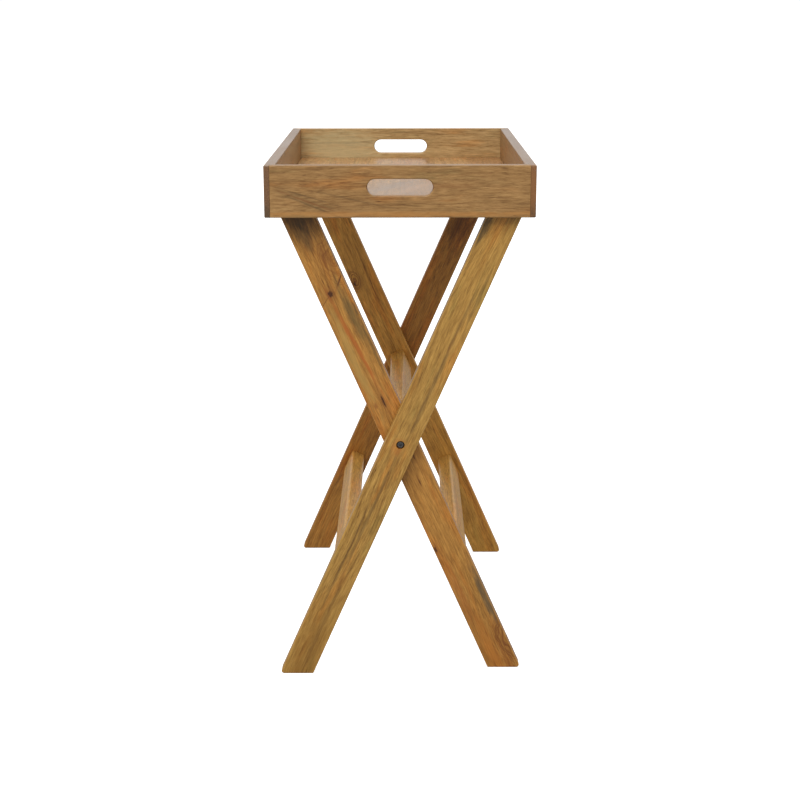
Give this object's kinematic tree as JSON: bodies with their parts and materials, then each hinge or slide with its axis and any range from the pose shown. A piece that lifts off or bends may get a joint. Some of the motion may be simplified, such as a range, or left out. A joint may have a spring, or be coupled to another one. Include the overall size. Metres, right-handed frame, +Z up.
{
  "type": "folding tray table",
  "caption": "Wooden tray with a hand hole in each end, resting on a folding X-frame stand whose two frames turn on bolts.",
  "frame": {"origin": "on the floor, under the middle of the tray", "axes": "+Z up, +X across the width, towards the tops of the outer frame's legs, +Y along the length, away from the front end"},
  "size_m": [0.38, 0.61, 0.77],
  "materials": {
    "tray_wood": "satin lacquered hardwood",
    "stand_wood": "satin lacquered hardwood",
    "dowel_wood": "bare beech",
    "black_steel": "black oxide",
    "zinc_steel": "zinc plated",
    "nylon": "moulded"
  },
  "bodies": {
    "outer_frame": {"outer_leg_front": "stand_wood", "outer_leg_rear": "stand_wood", "outer_foot_rail": "stand_wood", "outer_dowel_front_upper": "dowel_wood", "outer_dowel_front_lower": "dowel_wood", "outer_dowel_rear_upper": "dowel_wood", "outer_dowel_rear_lower": "dowel_wood", "head_washer_front": "black_steel", "head_washer_rear": "black_steel"},
    "inner_frame": {"inner_leg_front": "stand_wood", "inner_leg_rear": "stand_wood", "inner_foot_rail": "stand_wood", "pivot_rail": "stand_wood", "inner_dowel_front_upper": "dowel_wood", "inner_dowel_front_lower": "dowel_wood", "inner_dowel_rear_upper": "dowel_wood", "inner_dowel_rear_lower": "dowel_wood", "key_dowel_front": "dowel_wood", "key_dowel_rear": "dowel_wood", "pivot_bolt_front": "black_steel", "pivot_bolt_rear": "black_steel", "spacer_washer_front": "nylon", "spacer_washer_rear": "nylon", "threaded_insert_front": "zinc_steel", "threaded_insert_rear": "zinc_steel"},
    "tray": {"tray_side_left": "tray_wood", "tray_side_right": "tray_wood", "tray_end_front": "tray_wood", "tray_end_rear": "tray_wood", "tray_floor": "tray_wood", "corner_pin_front_left_upper": "zinc_steel", "corner_pin_front_left_lower": "zinc_steel", "corner_pin_front_right_upper": "zinc_steel", "corner_pin_front_right_lower": "zinc_steel", "corner_pin_rear_left_upper": "zinc_steel", "corner_pin_rear_left_lower": "zinc_steel", "corner_pin_rear_right_upper": "zinc_steel", "corner_pin_rear_right_lower": "zinc_steel"}
  },
  "joints": [
    {"name": "stand_fold", "type": "hinge", "parent": "outer_frame", "child": "inner_frame", "pos_m": [0, 0, 0.361], "axis": [0, 1, 0], "range_deg": [0, 36]},
    {"name": "tray_lift", "type": "slide", "parent": "outer_frame", "child": "tray", "axis": [0, 0, 1], "range_m": [0, 0.2]}
  ],
  "couplings": [
    {"joint": "tray_lift", "follows": "stand_fold", "m_per_rad": 0.3}
  ]
}
